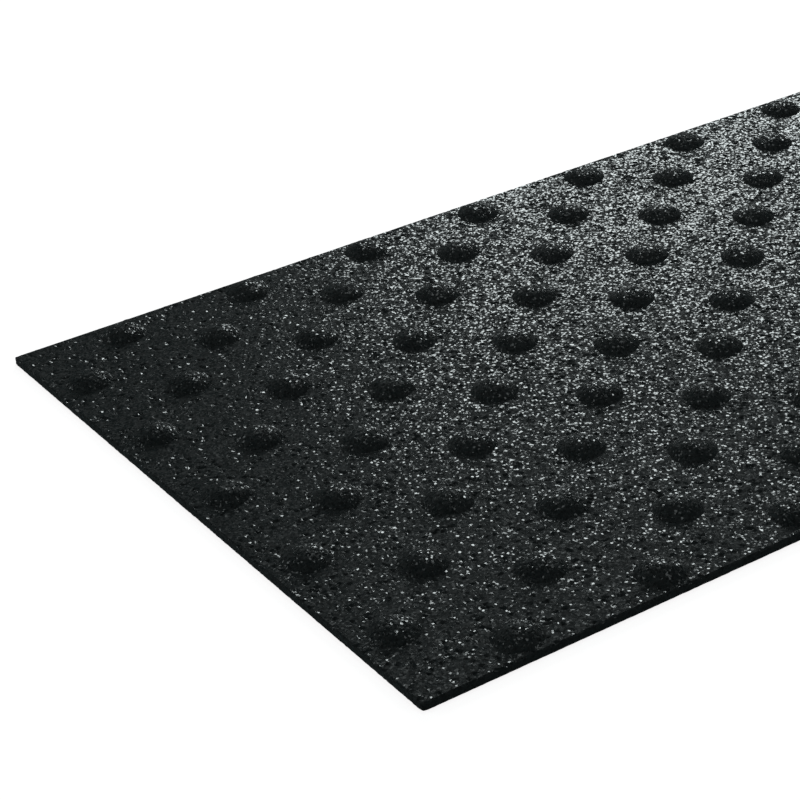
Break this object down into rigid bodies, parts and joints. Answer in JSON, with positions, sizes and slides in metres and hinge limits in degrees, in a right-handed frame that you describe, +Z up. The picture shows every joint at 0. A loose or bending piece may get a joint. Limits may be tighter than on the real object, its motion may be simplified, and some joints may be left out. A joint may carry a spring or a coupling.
{
  "type": "studded rubber granulate mat",
  "caption": "Thin flat mat of black bonded rubber granulate with a staggered field of low round domes, square-cut edges and a plain underside to lie on.",
  "frame": {"origin": "middle of the flat underside, at the centre of the mat's outline", "axes": "+X along the 900 mm length, +Y across the 600 mm width, +Z up out of the domed side"},
  "size_m": [0.9, 0.6, 0.0135],
  "materials": {
    "sheet_granulate": "rough open crumb surface with small glossy facets",
    "dome_granulate": "rough crumb surface pressed a little denser, with small glossy facets"
  },
  "bodies": {
    "root": {"mat_sheet": "sheet_granulate", "dome_row_01": "dome_granulate", "dome_row_02": "dome_granulate", "dome_row_03": "dome_granulate", "dome_row_04": "dome_granulate", "dome_row_05": "dome_granulate", "dome_row_06": "dome_granulate", "dome_row_07": "dome_granulate", "dome_row_08": "dome_granulate", "dome_row_09": "dome_granulate", "dome_row_10": "dome_granulate", "dome_row_11": "dome_granulate", "dome_row_12": "dome_granulate", "dome_row_13": "dome_granulate", "dome_row_14": "dome_granulate", "dome_row_15": "dome_granulate"}
  },
  "joints": []
}
